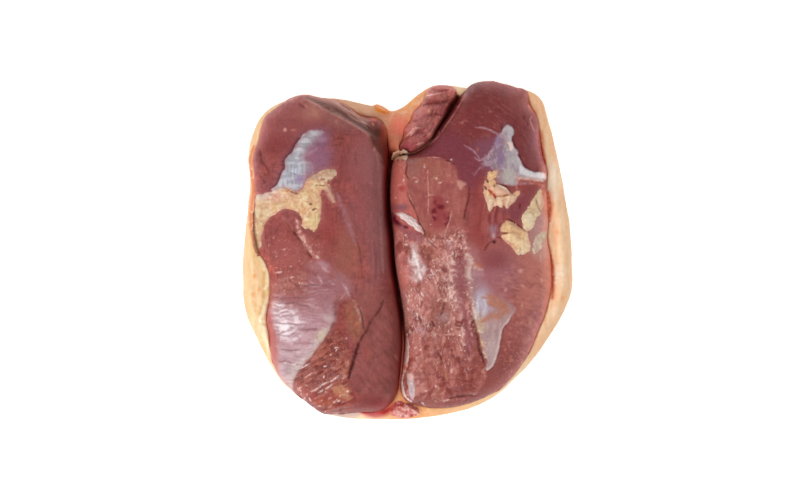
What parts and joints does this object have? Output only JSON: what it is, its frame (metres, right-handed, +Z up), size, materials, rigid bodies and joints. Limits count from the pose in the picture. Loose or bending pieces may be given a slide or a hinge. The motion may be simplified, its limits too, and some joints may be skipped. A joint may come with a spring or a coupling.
{
  "type": "raw duck breast",
  "caption": "Raw boneless double duck breast lying skin side down, its dark red muscles joined along a deep cleft on a pale skin with a rim of fat.",
  "frame": {"origin": "on the surface that the skin lies on, under the middle of the piece", "axes": "+X across the two muscles, +Y along the cleft towards the end with the notch, +Z up from the skin to the flesh side"},
  "size_m": [0.18, 0.1846, 0.0322],
  "materials": {
    "meat": "moist dark red raw meat with fine grain, purple silver skin in places and small wet glints",
    "fat": "lumpy cream fat, softly glossy",
    "skin": "peach skin with pale fat on the flesh side and pores on the outside, satin",
    "sinew": "white sinew and gristle, moist",
    "tissue": "loose pink raw tissue, moist"
  },
  "bodies": {
    "root": {"skin": "skin", "left_breast": "meat", "right_breast": "meat", "flap_muscle": "meat", "left_fat": "fat", "right_fat_upper": "fat", "right_fat_rim": "fat", "right_fat_middle": "fat", "right_fat_edge": "fat", "fat_curl": "fat", "tendon": "sinew", "cartilage": "sinew", "loose_tissue": "tissue"}
  },
  "joints": []
}
